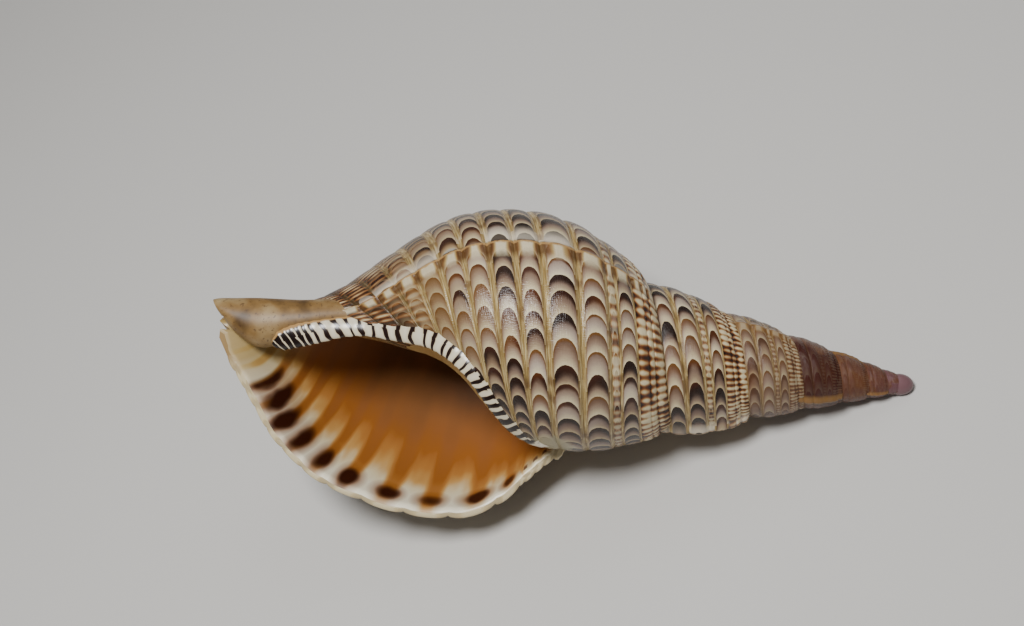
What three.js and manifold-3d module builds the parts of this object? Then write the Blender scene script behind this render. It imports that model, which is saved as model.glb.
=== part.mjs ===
import * as THREE from "three";
import { mergeVertices } from "three/addons/utils/BufferGeometryUtils.js";
import Module from "manifold-3d";

// Giant triton shell, lying on the back of its last whorl with the aperture to the front.
// Sizes are in millimetres, angles in degrees and growth in turns.
// Growth runs from the tip (negative turns) to the outer lip (turn 0).
// The coil is measured from its virtual tip: "along" is the distance along the axis towards
// the canal, "out" the distance from the axis, and the bearing goes round the axis:
// 0 faces the front, 90 is up, 180 the back and 270 down.

// Driving dimensions of the coil
const LIP_REACH = 155; // distance from the virtual tip to the suture at the outer lip
const WHORL_RATIO = 1.42; // how much larger each whorl is than the one before
const LIP_BEARING = 270;
const FIRST_TURN = -7.1; // where the blunt tip of the spire begins
const TIP_MIDDLE = 14.6; // the blunt tip is an ellipsoid on the axis
const TIP_HALF_LENGTH = 6;
const TIP_RADIUS = 4.6;
const TIP_SIDES = 12;
const TIP_RINGS = 8;

// Outlines of a whorl from its upper suture to its base, as along and out, in units of the
// reach of the suture at that turn. The three stages of growth share their point numbers.
const SPIRE_OUTLINE = [
  [1.0, 0.246], [1.045, 0.265], [1.095, 0.298], [1.222, 0.335], [1.33, 0.352], [1.418, 0.356],
  [1.5, 0.35], [1.57, 0.32], [1.64, 0.27], [1.7, 0.2], [1.76, 0.12], [1.83, 0.06],
  [1.9, 0.04], [1.97, 0.02],
];
const BODY_OUTLINE = [
  [1.0, 0.262], [1.03, 0.305], [1.07, 0.338], [1.18, 0.4], [1.28, 0.435], [1.38, 0.45],
  [1.49, 0.446], [1.6, 0.418], [1.7, 0.364], [1.83, 0.256], [1.935, 0.158], [2.04, 0.09],
  [2.12, 0.06], [2.22, 0.04],
];
const LIP_OUTLINE = [
  [1.0, 0.255], [1.03, 0.263], [1.07, 0.3], [1.12, 0.351], [1.185, 0.408], [1.29, 0.449],
  [1.445, 0.449], [1.595, 0.413], [1.705, 0.367], [1.81, 0.28], [1.875, 0.19], [1.925, 0.115],
  [1.96, 0.068], [1.985, 0.045],
];
const BODY_SWELLS = [-1.1, -0.55]; // turns between which the last whorl swells
const LIP_FORMS = [-0.35, 0]; // turns between which the lip takes its own outline

// Spiral ribs lie between these grooves, in point numbers of the outlines
const GROOVES = [
  0, 1.05, 1.7, 2.2, 2.75, 2.98, 3.96, 5.14, 5.92, 6.7, 7.5, 8.2, 8.75, 9.3, 9.9, 10.5, 11.2, 12,
];
const RIB_HEIGHT = 0.0105; // of the reach of the suture, for the widest ribs
const WIDE_RIB = 0.6; // ribs wider than this have a flat crest
const CREST_FLATNESS = 2.4; // powers that shape the crest of a rib
const CREST_FULLNESS = 0.6;

// Varices, the thickened lips of earlier stops in growth: the turn, the height in units of
// the reach of the suture, and half the width in turns
const VARICES = [
  [-0.609, 0.007, 0.004], [-1.277, 0.02, 0.012], [-1.945, 0.034, 0.018],
  [-2.59, 0.015, 0.012], [-3.235, 0.018, 0.012], [-3.875, 0.034, 0.016],
  [-4.54, 0.015, 0.012], [-5.21, 0.015, 0.012], [-5.88, 0.04, 0.016],
];
const LIP_FLARE = 5;
const LIP_FLARE_LENGTH = 0.035;
const RELIEF_STARTS = [0, 0.6]; // point numbers over which varices and flare rise and fade
const RELIEF_ENDS = [11.5, 13];

// From the tip to inside the last whorl, as radius and along
const AXIS_ROD = [[0.8, 13.5], [3, 192]];
const AXIS_SIDES = 8;

// Wall and cavity
const WALL = 3.6;
const WALL_THINS = -0.3; // the wall is in proportion to the whorl before this turn
const CAVITY_TURNS = [-0.66, -0.3, 0.05]; // its start, its middle and past the lip
const CAVITY_NUMBERS = [0.9, 12.8]; // point numbers of the outer side
const CANAL_BREAKS_OUT = 8; // how far the cavity runs on past the base, to open the canal
const INSIDE_NUMBERS = [11, 6.4]; // point numbers of the whorl inside
const CAVITY_OUTSET = 1.2; // of glaze on the whorl inside
const CANAL_NARROWS = [-0.15, 0]; // turns between which that opening narrows towards the lip
const CANAL_LEFT_OPEN = 0.2; // share of its radius left at the lip
const CAVITY_FLARE = [0, 1.5]; // point numbers over which the flare opens the cavity
const CAVITY_AXIS_SPACE = 2;
const SMALL_STEP = 0.05; // in point numbers, for the direction of the outline
const JOIN_TURN = 0.008; // how far one sweep reaches into the one before it
const JOIN_SHRINK = 0.06;
const AXIS_GAP = 0.004; // of the reach, kept free along the axis and filled by the axis rod
const CAVITY_GAP = 0.002; // of the reach, less than the whorls' own

// The opening in front, as along and up, from the notch along the inner side to the canal
const FRONT_OPENING = [
  [165.4, -43.6], [172.9, -40.1], [179.8, -33.1], [185.6, -26.4], [191, -20], [196.9, -13.1],
  [202.9, -7.5], [209.5, -3.3], [217.4, -0.6], [230.2, 0.2], [243.3, 0.9], [253.7, -0.4],
  [264, -3.7], [276.6, -8.5], [290, -11.5], [297, -9.5], [302, -4.5], [305.5, 2.5], [318, 3.5],
  [318, -4], [300, -12], [285, -27], [274, -40.5], [259, -52], [243, -58.5], [222, -63],
  [203, -62.5], [189, -57.5], [180, -51], [172, -46],
];
const INNER_SIDE = 15; // the points of the opening up to this one are its inner side
const INNER_SIDE_STARTS = 3;
const INNER_SIDE_ENDS = 4;
// How far the inner side is shifted into the opening at each distance in front of the axis
const OPENING_SLOPE = [[-2, 9], [4, 5.6], [12, 2.8], [22, 0.8], [32, 0], [90, 0]];
const CANAL_FLOOR = 3; // how much less deep the opening is at the end of the canal
const CANAL_FLOOR_RISES = [284, 300];

// The canal's shield: along, up, half its height and half its depth
const SHIELD = [
  [236, 9, 4, 5], [248, 8, 6, 7.5], [260, 6.8, 7.2, 9], [273, 3.8, 8.6, 10],
  [290, 0.8, 10.8, 10], [300, 2.2, 8.4, 9], [306, 4.2, 5.8, 7.4], [308.5, 5.2, 4, 6],
];
const SHIELD_SIDES = 14;
const SHIELD_TILT = 3; // how far the top of its end leans out past the middle
const CANAL_WALL = 3.4;
const CANAL_SHARE = 0.62; // least size of the canal to that of the shield
const CANAL_DROP = 0.2;
const CANAL_SHIFT = -0.5; // the canal lies behind the middle of the shield
const CANAL_REACH = 12;
const CANAL_SIDES = 10;

// The inner lip: along, up and half its width, from the notch to the canal
const INNER_LIP = [
  [164.5, -42, 2.6], [171.4, -38.3, 3.4], [177.7, -31.3, 4], [183.3, -24.5, 4.3],
  [188.7, -18.1, 4.3], [194.6, -11, 4.4], [200.9, -5, 4.6], [208, -0.2, 4.9],
  [216.8, 2.9, 5], [230.1, 3.4, 4.6], [243.4, 3.9, 4.3], [254.3, 2.6, 4.4],
  [265, -0.3, 5], [271.6, -2.3, 5.1], [277.9, -4.9, 4.6], [283.3, -7.5, 3.2],
];
const INNER_LIP_SUNK = 1.5; // how far its middle lies behind the whorl's surface
const SHIELD_FRONT = 8.5; // where it runs on the shield instead
const INNER_LIP_RIDGES = 27;
const INNER_LIP_SIDES = 6;
const INNER_LIP_FLATNESS = 0.75;
const INNER_LIP_TILT = 20;
const INNER_LIP_TAPER = 22; // the bar thins over the first and last of this many parts
const INNER_LIP_END = 0.1; // least share of its width
const RIDGE_HEIGHT = 0.5;

// Search for the surface that the inner lip lies on
const FIRST_GUESS = 20;
const ROUNDS = 12;
const HALVINGS = 20;

// How the shell lies: the spire dips to the surface, and the roll sets the aperture's bearing
const SPIRE_DIP = 19.45;
const ROLL = 56;
const RESTING_FLAT = 0.8; // depth worn flat where the shell touches the surface
const GROUND_SIZE = 1000;
const GROUND_DEPTH = 100;

// Number of steps round each half turn and the points of the outline that an old whorl shows
const LAST_WHORL_STEPS = 17;
const LIP_STEPS = [-0.012, -0.005]; // turns just behind the edge of the lip
const SPIRE_STEPS = 25;
const SPIRE_STEPS_LOST = 3; // fewer steps round each older whorl
const LEAST_STEPS = 6;
const SPIRE_NUMBERS = [0, 0.5, 1.05, 1.7, 2.2, 2.98, 3.47, 3.96, 4.25, 4.85, 5.14, 7];
const OLD_SPIRE_NUMBERS = [0, 1.05, 2.2, 3.47, 3.96, 4.55, 5.14, 7];
const OLD_WHORL = 3; // whorls from this one back to the tip have fewer points
const LEAST_SWEEP = 0.05;
const VARIX_FOOT = 1.5; // where a varix's foot is sampled, in half widths
const VARIX_CLEARANCE = 0.006;
const CAVITY_STEPS = 9;
const CAVITY_POINTS = 15;
const INSIDE_POINTS = 5;

const wasm = await Module();
wasm.setup();

const radians = THREE.MathUtils.degToRad;
const smooth = (value, [low, high]) => THREE.MathUtils.smoothstep(value, low, high);

const reach = (turn) => LIP_REACH * WHORL_RATIO ** turn;
const bearing = (turn) => LIP_BEARING + 360 * turn;

// A point on the smooth outline of the whorl at a turn, in millimetres
function outlinePoint(turn, number) {
  const swell = smooth(turn, BODY_SWELLS);
  const lip = smooth(turn, LIP_FORMS);
  const blended = SPIRE_OUTLINE.map(([along, out], i) => {
    const body = new THREE.Vector2(along, out).lerp(new THREE.Vector2(...BODY_OUTLINE[i]), swell);
    return body.lerp(new THREE.Vector2(...LIP_OUTLINE[i]), lip);
  });
  const curve = new THREE.SplineCurve(blended);
  return curve.getPoint(number / (blended.length - 1)).multiplyScalar(reach(turn));
}

// Height of the spiral ribs above the grooves, from 0 to 1
function ribHeight(number) {
  const next = GROOVES.findIndex((groove) => groove > number + 1e-6);
  if (next < 1) return 0;
  const width = GROOVES[next] - GROOVES[next - 1];
  const aside = Math.abs((2 * (number - GROOVES[next - 1])) / width - 1);
  const crest = Math.max(0, 1 - aside ** CREST_FLATNESS) ** CREST_FULLNESS;
  return Math.min(1, width) * crest;
}

function varixHeight(turn) {
  let total = 0;
  for (const [crest, height, halfWidth] of VARICES) {
    total += height * Math.exp(-(((turn - crest) / halfWidth) ** 2));
  }
  return total;
}

// How far the surface stands out from the smooth outline
function relief(turn, number) {
  const ribs = RIB_HEIGHT * ribHeight(number) * reach(turn);
  const varix = varixHeight(turn) * reach(turn);
  const flare = LIP_FLARE * Math.exp(turn / LIP_FLARE_LENGTH);
  const fade = smooth(number, RELIEF_STARTS) * (1 - smooth(number, RELIEF_ENDS));
  return ribs + (varix + flare) * fade;
}

// Sample places on the outline: each groove, and one or two on the crest of each rib
function outlineNumbers() {
  const numbers = [];
  for (let i = 0; i + 1 < GROOVES.length; i++) {
    const [low, high] = [GROOVES[i], GROOVES[i + 1]];
    const shares = high - low > WIDE_RIB ? [0, 1 / 4, 3 / 4] : [0, 1 / 2];
    numbers.push(...shares.map((share) => low + (high - low) * share));
  }
  return numbers;
}

// The closed section of a whorl, from the axis out, as along and out
function whorlSection(turn, numbers) {
  const section = numbers.map((number) => {
    const point = outlinePoint(turn, number);
    point.y += relief(turn, number);
    return point;
  });
  const last = outlinePoint(turn, SPIRE_OUTLINE.length - 1);
  const gap = AXIS_GAP * reach(turn);
  section.push(last);
  section.push(new THREE.Vector2(last.x, gap));
  section.push(new THREE.Vector2(reach(turn), gap));
  return section;
}

// A number part of the way between two
const between = ([start, end], share) => start + (end - start) * share;

// The closed section of the cavity: the whorl less its wall and less the whorl inside it
function cavitySection(turn) {
  const wall = WALL * Math.min(1, WHORL_RATIO ** (turn - WALL_THINS));
  const flare = LIP_FLARE * Math.exp(Math.min(turn, 0) / LIP_FLARE_LENGTH);
  const outer = [];
  for (let i = 0; i <= CAVITY_POINTS; i++) {
    const number = between(CAVITY_NUMBERS, i / CAVITY_POINTS);
    const here = outlinePoint(turn, number);
    const along = outlinePoint(turn, number + SMALL_STEP).sub(here).normalize();
    const opened = smooth(number, CAVITY_FLARE) * (1 - smooth(number, RELIEF_ENDS));
    const lift = flare * opened * along.x - wall;
    outer.push(new THREE.Vector2(here.x - along.y * lift, here.y + along.x * lift));
  }
  const inner = [];
  for (let i = 0; i <= INSIDE_POINTS; i++) {
    const here = outlinePoint(turn - 1, between(INSIDE_NUMBERS, i / INSIDE_POINTS));
    inner.push(new THREE.Vector2(here.x + CAVITY_OUTSET, here.y + CAVITY_OUTSET));
  }
  const gap = CAVITY_GAP * reach(turn);
  const foot = outer[outer.length - 1].clone();
  foot.x += CANAL_BREAKS_OUT;
  foot.y *= 1 - (1 - CANAL_LEFT_OPEN) * smooth(turn, CANAL_NARROWS);
  const axisEnd = new THREE.Vector2(foot.x, gap);
  const axisStart = new THREE.Vector2(inner[0].x + CAVITY_AXIS_SPACE, gap);
  return [...outer, foot, axisEnd, axisStart, ...inner];
}

// From along, out and bearing to the shell's own frame: tip to +X, front to -Y and up to +Z
function place(along, out, angle) {
  const turned = radians(angle);
  return new THREE.Vector3(-along, -out * Math.cos(turned), out * Math.sin(turned));
}

// A closed solid from a row of outlines with the same number of points. The caps are cut into
// triangles on the flat points that belong to the first and the last outline.
function solidFromRings(rings, firstFlat, lastFlat) {
  const count = rings[0].length;
  const points = rings.flat();
  const triangles = [];
  for (let r = 0; r + 1 < rings.length; r++) {
    for (let i = 0; i < count; i++) {
      const j = (i + 1) % count;
      const [a, b, c, d] = [r * count + i, r * count + j, (r + 1) * count + j, (r + 1) * count + i];
      triangles.push(a, b, c, a, c, d);
    }
  }
  const end = (rings.length - 1) * count;
  for (const [a, b, c] of capTriangles(firstFlat)) triangles.push(c, b, a);
  for (const [a, b, c] of capTriangles(lastFlat)) triangles.push(end + a, end + b, end + c);
  return solidFromTriangles(points, triangles);
}

// Triangles of a flat outline, turned the same way as the outline
function capTriangles(outline) {
  const around = THREE.ShapeUtils.area(outline) > 0;
  return THREE.ShapeUtils.triangulateShape(outline, []).map(([a, b, c]) => {
    const turned = THREE.ShapeUtils.area([outline[a], outline[b], outline[c]]) > 0;
    return turned === around ? [a, b, c] : [a, c, b];
  });
}

function solidFromTriangles(points, triangles) {
  const make = (order) => new wasm.Manifold(new wasm.Mesh({
    numProp: 3,
    vertProperties: new Float32Array(points.flatMap((point) => point.toArray())),
    triVerts: new Uint32Array(order),
  }));
  const solid = make(triangles);
  return solid.volume() > 0 ? solid : make([...triangles].reverse());
}

function solidFromGeometry(geometry) {
  geometry.deleteAttribute("normal");
  geometry.deleteAttribute("uv");
  const merged = mergeVertices(geometry);
  const corners = merged.getAttribute("position");
  const points = Array.from({ length: corners.count }, (_, i) =>
    new THREE.Vector3().fromBufferAttribute(corners, i));
  return solidFromTriangles(points, Array.from(merged.index.array));
}

// A sweep of sections round the axis. It starts with a smaller section, which lies inside
// the sweep before it, so that the two join.
function sweep(turns, sectionAt) {
  const sections = turns.map(sectionAt);
  const middle = new THREE.Vector2();
  for (const point of sections[0]) middle.addScaledVector(point, 1 / sections[0].length);
  sections.unshift(sections[0].map((point) => point.clone().lerp(middle, JOIN_SHRINK)));
  const places = [turns[0] - JOIN_TURN, ...turns];
  const rings = sections.map((section, i) =>
    section.map((point) => place(point.x, point.y, bearing(places[i]))));
  return solidFromRings(rings, sections[0], sections[sections.length - 1]);
}

function evenTurns(start, end, steps) {
  return Array.from({ length: steps + 1 }, (_, i) => between([start, end], i / steps));
}

// Even turns with the ones near a varix moved to its foot, crest and foot
function turnsWithVarices(start, end, steps) {
  let turns = evenTurns(start, end, steps);
  for (const [crest, , halfWidth] of VARICES) {
    const foot = VARIX_FOOT * halfWidth;
    const [low, high] = [crest - foot - VARIX_CLEARANCE, crest + foot + VARIX_CLEARANCE];
    if (low < start || high > end) continue;
    turns = turns.filter((turn) => turn < low || turn > high);
    turns.push(crest - foot, crest, crest + foot);
  }
  return turns.sort((a, b) => a - b);
}

function makeWhorls() {
  const solids = [];
  const lastNumbers = outlineNumbers();
  for (const [start, end] of [[-1, -0.5], [-0.5, 0]]) {
    const turns = turnsWithVarices(start, end, LAST_WHORL_STEPS);
    if (end === 0) turns.splice(turns.length - 1, 0, ...LIP_STEPS);
    solids.push(sweep(turns, (turn) => whorlSection(turn, lastNumbers)));
  }
  for (let whorl = 1; -whorl > FIRST_TURN; whorl++) {
    const steps = Math.max(LEAST_STEPS, (SPIRE_STEPS - SPIRE_STEPS_LOST * (whorl - 1)) >> 1);
    const numbers = whorl < OLD_WHORL ? SPIRE_NUMBERS : OLD_SPIRE_NUMBERS;
    for (const half of [0, 0.5]) {
      const start = Math.max(FIRST_TURN, -whorl - 1 + half);
      const end = -whorl - 0.5 + half;
      if (end - start < LEAST_SWEEP) continue;
      const turns = turnsWithVarices(start, end, steps);
      solids.push(sweep(turns, (turn) => whorlSection(turn, numbers)));
    }
  }
  return solids;
}

function makeTip() {
  const tip = new THREE.SphereGeometry(1, TIP_SIDES, TIP_RINGS);
  tip.rotateZ(Math.PI / 2);
  tip.scale(TIP_HALF_LENGTH, TIP_RADIUS, TIP_RADIUS);
  tip.translate(-TIP_MIDDLE, 0, 0);
  return solidFromGeometry(tip);
}

function makeAxisRod() {
  const [[, start], [, end]] = AXIS_ROD;
  const profile = [[0, start], ...AXIS_ROD, [0, end]].map((point) => new THREE.Vector2(...point));
  const rod = new THREE.LatheGeometry(profile, AXIS_SIDES);
  rod.rotateZ(Math.PI / 2);
  return solidFromGeometry(rod);
}

function circle(sides) {
  return Array.from({ length: sides }, (_, i) => {
    const angle = (2 * Math.PI * i) / sides;
    return new THREE.Vector2(Math.cos(angle), Math.sin(angle));
  });
}

// A solid whose outlines are ellipses across the shell's length, with centres and sizes read
// from rows of along, up, front, half its height and half its depth
function ellipseSweep(rows, sides, tilt) {
  const flat = circle(sides);
  const rings = rows.map(([along, up, front, height, depth], i) => {
    const lean = (tilt * i) / (rows.length - 1);
    return flat.map((p) =>
      new THREE.Vector3(-along - lean * p.y, -front - depth * p.x, up + height * p.y));
  });
  return solidFromRings(rings, flat, flat);
}

function makeShield() {
  const rows = SHIELD.map(([along, up, height, depth]) => [along, up, 0, height, depth]);
  return ellipseSweep(rows, SHIELD_SIDES, SHIELD_TILT);
}

function makeCanalCutter() {
  const canalSize = (size) => Math.max(size - CANAL_WALL, size * CANAL_SHARE);
  const rows = SHIELD.map(([along, up, height, depth]) =>
    [along, up - CANAL_DROP, CANAL_SHIFT, canalSize(height), canalSize(depth)]);
  const [along, ...end] = rows[rows.length - 1];
  rows.push([along + CANAL_REACH, ...end]);
  return ellipseSweep(rows, CANAL_SIDES, 0);
}

// Opens the front of the last whorl, with the inner side sloping into the aperture
function makeFrontCutter() {
  const outline = FRONT_OPENING.map((point) => new THREE.Vector2(...point));
  const inward = outline.map((point, i) => {
    const before = outline[Math.max(i - 1, 0)];
    const after = outline[Math.min(i + 1, outline.length - 1)];
    const ahead = after.clone().sub(before).normalize();
    const side = Math.min(i / INNER_SIDE_STARTS, (INNER_SIDE - i) / INNER_SIDE_ENDS);
    const share = THREE.MathUtils.clamp(side, 0, 1);
    return new THREE.Vector2(ahead.y, -ahead.x).multiplyScalar(share);
  });
  const [[deepest]] = OPENING_SLOPE;
  const lines = OPENING_SLOPE.map(([, shift]) =>
    outline.map((point, i) => point.clone().addScaledVector(inward[i], shift)));
  const rings = OPENING_SLOPE.map(([front], level) => lines[level].map((point, i) => {
    const floor = deepest + CANAL_FLOOR * smooth(outline[i].x, CANAL_FLOOR_RISES);
    return new THREE.Vector3(-point.x, -Math.max(front, floor), point.y);
  }));
  return solidFromRings(rings, lines[0], lines[lines.length - 1]);
}

// How far out the last whorl's surface is, found by halving the stretch of outline
function whorlOut(turn, along) {
  let [low, high] = [0, SPIRE_OUTLINE.length - 1];
  for (let k = 0; k < HALVINGS; k++) {
    const middle = (low + high) / 2;
    if (outlinePoint(turn, middle).x < along) low = middle;
    else high = middle;
  }
  return outlinePoint(turn, low).y;
}

// How far in front of the axis the last whorl's surface is. The turn depends on the answer,
// so each round starts from the one before.
function whorlFront(along, up) {
  let front = FIRST_GUESS;
  for (let i = 0; i < ROUNDS; i++) {
    const angle = THREE.MathUtils.radToDeg(Math.atan2(up, front));
    const out = whorlOut((angle - LIP_BEARING) / 360, along);
    front = Math.sqrt(Math.max(out * out - up * up, 1));
  }
  return front;
}

// The inner lip is a bar along the edge of the aperture with a row of cross ridges
function makeInnerLip() {
  const path = new THREE.CatmullRomCurve3(INNER_LIP.map(([along, up]) => {
    const front = Math.max(whorlFront(along, up) - INNER_LIP_SUNK, SHIELD_FRONT);
    return new THREE.Vector3(-along, -front, up);
  }));
  const widths = new THREE.CatmullRomCurve3(INNER_LIP.map(([, , width]) =>
    new THREE.Vector3(width, 0, 0)));
  const tilt = radians(INNER_LIP_TILT);
  const steps = INNER_LIP_RIDGES * 2;
  const flat = circle(INNER_LIP_SIDES);
  const rings = [];
  for (let i = 0; i <= steps; i++) {
    const centre = path.getPoint(i / steps);
    const ahead = path.getTangent(i / steps);
    const front = new THREE.Vector3(0, -1, 0);
    const across = new THREE.Vector3().crossVectors(ahead, front).normalize();
    const lift = front.applyAxisAngle(ahead, -tilt);
    across.applyAxisAngle(ahead, -tilt);
    const fromEnd = INNER_LIP_TAPER * Math.min(i / steps, 1 - i / steps);
    const share = THREE.MathUtils.clamp(Math.sqrt(fromEnd), INNER_LIP_END, 1);
    const radius = (widths.getPoint(i / steps).x + RIDGE_HEIGHT * (i % 2)) * share;
    rings.push(flat.map((p) => centre.clone()
      .addScaledVector(lift, p.x * radius * INNER_LIP_FLATNESS)
      .addScaledVector(across, p.y * radius)));
  }
  return solidFromRings(rings, flat, flat);
}

function rollOnToItsBack(points) {
  const roll = new THREE.Matrix4().makeRotationX(radians(-ROLL));
  const dip = new THREE.Matrix4().makeRotationY(radians(SPIRE_DIP));
  points.forEach((point) => point.applyMatrix4(roll).applyMatrix4(dip));
}

function geometryFromSolid(solid) {
  const mesh = solid.getMesh();
  const points = [];
  for (let i = 0; i < mesh.numVert; i++) {
    points.push(new THREE.Vector3().fromArray(mesh.vertProperties, i * mesh.numProp));
  }
  return [points, Array.from(mesh.triVerts)];
}

function makeShell() {
  const whorls = makeWhorls().reduce((joined, whorl) => joined.add(whorl));
  const outside = whorls.add(makeTip()).add(makeAxisRod()).add(makeShield());
  const [start, middle, end] = CAVITY_TURNS;
  const cavity = sweep(evenTurns(start, middle, CAVITY_STEPS), cavitySection)
    .add(sweep(evenTurns(middle, end, CAVITY_STEPS), cavitySection));
  const hollow = outside.subtract(cavity).subtract(makeCanalCutter()).subtract(makeFrontCutter());
  const shell = hollow.add(makeInnerLip());

  const [points, triangles] = geometryFromSolid(shell);
  rollOnToItsBack(points);
  const box = new THREE.Box3().setFromPoints(points);
  const rest = box.getCenter(new THREE.Vector3()).setZ(box.min.z + RESTING_FLAT);
  points.forEach((point) => point.sub(rest));
  const ground = new THREE.BoxGeometry(GROUND_SIZE, GROUND_SIZE, GROUND_DEPTH);
  ground.translate(0, 0, -GROUND_DEPTH / 2);
  return solidFromTriangles(points, triangles).subtract(solidFromGeometry(ground));
}

const shell = makeShell();
const [points, triangles] = geometryFromSolid(shell);
const geometry = new THREE.BufferGeometry().setFromPoints(points);
geometry.setIndex(triangles);
geometry.computeVertexNormals();
const mesh = new THREE.Mesh(geometry, new THREE.MeshStandardMaterial({
  color: "#c8ab86",
  roughness: 0.3,
  metalness: 0,
}));
mesh.name = "triton_shell";

const group = new THREE.Group();
group.add(mesh);

export default group;
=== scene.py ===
import math

import bpy
import numpy as np
from mathutils import Matrix, Vector


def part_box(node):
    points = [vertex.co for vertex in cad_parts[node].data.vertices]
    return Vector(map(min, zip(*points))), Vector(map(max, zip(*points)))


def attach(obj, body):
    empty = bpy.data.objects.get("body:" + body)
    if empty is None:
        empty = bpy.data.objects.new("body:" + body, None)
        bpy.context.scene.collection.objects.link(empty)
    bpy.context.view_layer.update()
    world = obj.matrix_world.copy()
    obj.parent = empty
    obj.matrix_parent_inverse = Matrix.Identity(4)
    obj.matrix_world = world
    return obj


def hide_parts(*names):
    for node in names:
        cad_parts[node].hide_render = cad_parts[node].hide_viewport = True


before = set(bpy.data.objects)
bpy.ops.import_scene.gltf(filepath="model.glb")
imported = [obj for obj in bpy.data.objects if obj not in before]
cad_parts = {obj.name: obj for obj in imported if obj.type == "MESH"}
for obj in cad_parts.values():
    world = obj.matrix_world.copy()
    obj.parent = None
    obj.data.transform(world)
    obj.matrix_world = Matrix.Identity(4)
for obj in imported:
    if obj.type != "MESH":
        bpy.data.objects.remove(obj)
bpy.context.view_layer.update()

# A giant triton shell, lying on the back of its last whorl with its aperture to the front.
# Sizes are in millimetres, angles in degrees and growth in turns, from the tip (negative
# turns) to the outer lip (turn 0). "Along" is measured from the coil's virtual tip towards
# the canal, "out" from the axis, and the bearing goes round the axis: 0 faces the front,
# 90 is up, 180 the back and 270 down.
MM = 0.001

# Growth of the coil
LIP_REACH = 155.0
WHORL_RATIO = 1.42
LIP_BEARING = 270.0
FIRST_TURN = -7.1
TIP_MIDDLE = 14.6
TIP_HALF_LENGTH = 6.0
TIP_RADIUS = 4.6

# Outlines of a whorl from suture to base, as along and out in units of the suture's reach
SPIRE_OUTLINE = np.array([
    (1.0, 0.246), (1.045, 0.265), (1.095, 0.298), (1.222, 0.335), (1.33, 0.352), (1.418, 0.356),
    (1.5, 0.35), (1.57, 0.32), (1.64, 0.27), (1.7, 0.2), (1.76, 0.12), (1.83, 0.06), (1.9, 0.04),
    (1.97, 0.02),
])
BODY_OUTLINE = np.array([
    (1.0, 0.262), (1.03, 0.305), (1.07, 0.338), (1.18, 0.4), (1.28, 0.435), (1.38, 0.45),
    (1.49, 0.446), (1.6, 0.418), (1.7, 0.364), (1.83, 0.256), (1.935, 0.158), (2.04, 0.09),
    (2.12, 0.06), (2.22, 0.04),
])
LIP_OUTLINE = np.array([
    (1.0, 0.255), (1.03, 0.263), (1.07, 0.3), (1.12, 0.351), (1.185, 0.408), (1.29, 0.449),
    (1.445, 0.449), (1.595, 0.413), (1.705, 0.367), (1.81, 0.28), (1.875, 0.19), (1.925, 0.115),
    (1.96, 0.068), (1.985, 0.045),
])
BURIED_FROM = 7.3  # past this point number, an older whorl is inside the next one
BODY_SWELLS = (-1.1, -0.55)
LIP_FORMS = (-0.35, 0.0)

# Spiral ribs between grooves, in point numbers of the outlines
GROOVES = np.array([
    0, 1.05, 1.7, 2.2, 2.75, 2.98, 3.96, 5.14, 5.92, 6.7, 7.5, 8.2, 8.75, 9.3, 9.9, 10.5, 11.2,
    12,
])
RIB_HEIGHT = 0.0105
BEADED_TO = 2.2
BEADS_IN_A_TURN = 60
BEAD_DEPTH = 0.55

# Varices and the flared lip
VARICES = [  # turn, height and half width in units of the suture's reach and in turns
    (-0.609, 0.007, 0.004), (-1.277, 0.02, 0.012), (-1.945, 0.034, 0.018),
    (-2.59, 0.015, 0.012), (-3.235, 0.018, 0.012), (-3.875, 0.034, 0.016),
    (-4.54, 0.015, 0.012), (-5.21, 0.015, 0.012), (-5.88, 0.04, 0.016),
]
LIP_FLARE = 5.0
LIP_FLARE_LENGTH = 0.035
LIP_ROUNDING = 1.7
LIP_RIDGE = 1.3
LIP_RIDGE_LENGTH = 0.025
SUTURE_FADE = (0, 0.6)
BASE_FADE = (11.5, 13)
LIP_CIRCUMFERENCE = 2 * math.pi * 0.45 * LIP_REACH
RIM_STEPS = (5.2, 3.8, 2.6, 1.7, 1.1, 0.6, 0.25)  # millimetres in from the edge of the lip

# Wall, cavity and canal
WALL = 3.6
WALL_THINS_FROM = -0.3
CAVITY_END = -0.66
CAVITY_MIDDLE = -0.3
CAVITY_START = 0.05
CAVITY_OUTSET = 1.2
CAVITY_FADE = (0, 1.5)
CAVITY_OUTER = (0.9, 12.8, 94)  # first and last outline number, and how many points
CAVITY_INNER = (11, 6.4, 24)
CANAL_BREAKS_OUT = 8.0
CANAL_NARROWS = (-0.15, 0.0)
CANAL_LEFT_OPEN = 0.2
JOIN_TURN = 0.008
JOIN_SHRINK = 0.06
SHORTEST_PIECE = 0.05
RIM_GAP = 0.002
AXIS_ROD = ((13.5, 0.8), (192.0, 3.0))  # place along the axis and radius of both ends
AXIS_GAP = 0.004
CAVITY_GAP = 0.002
OPENING_SIDE = 16
CANAL_FLOOR = 3.0
CANAL_FLOOR_RISES = (284, 300)
OPENING_SLOPE = [(-2, 9), (4, 5.6), (12, 2.8), (22, 0.8), (32, 0), (90, 0)]
FRONT_OPENING = [
    (165.4, -43.6), (172.9, -40.1), (179.8, -33.1), (185.6, -26.4), (191, -20), (196.9, -13.1),
    (202.9, -7.5), (209.5, -3.3), (217.4, -0.6), (230.2, 0.2), (243.3, 0.9), (253.7, -0.4),
    (264, -3.7), (276.6, -8.5), (290, -11.5), (297, -9.5), (302, -4.5), (305.5, 2.5), (318, 3.5),
    (318, -4), (300, -12), (285, -27), (274, -40.5), (259, -52), (243, -58.5), (222, -63),
    (203, -62.5), (189, -57.5), (180, -51), (172, -46),
]
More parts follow.
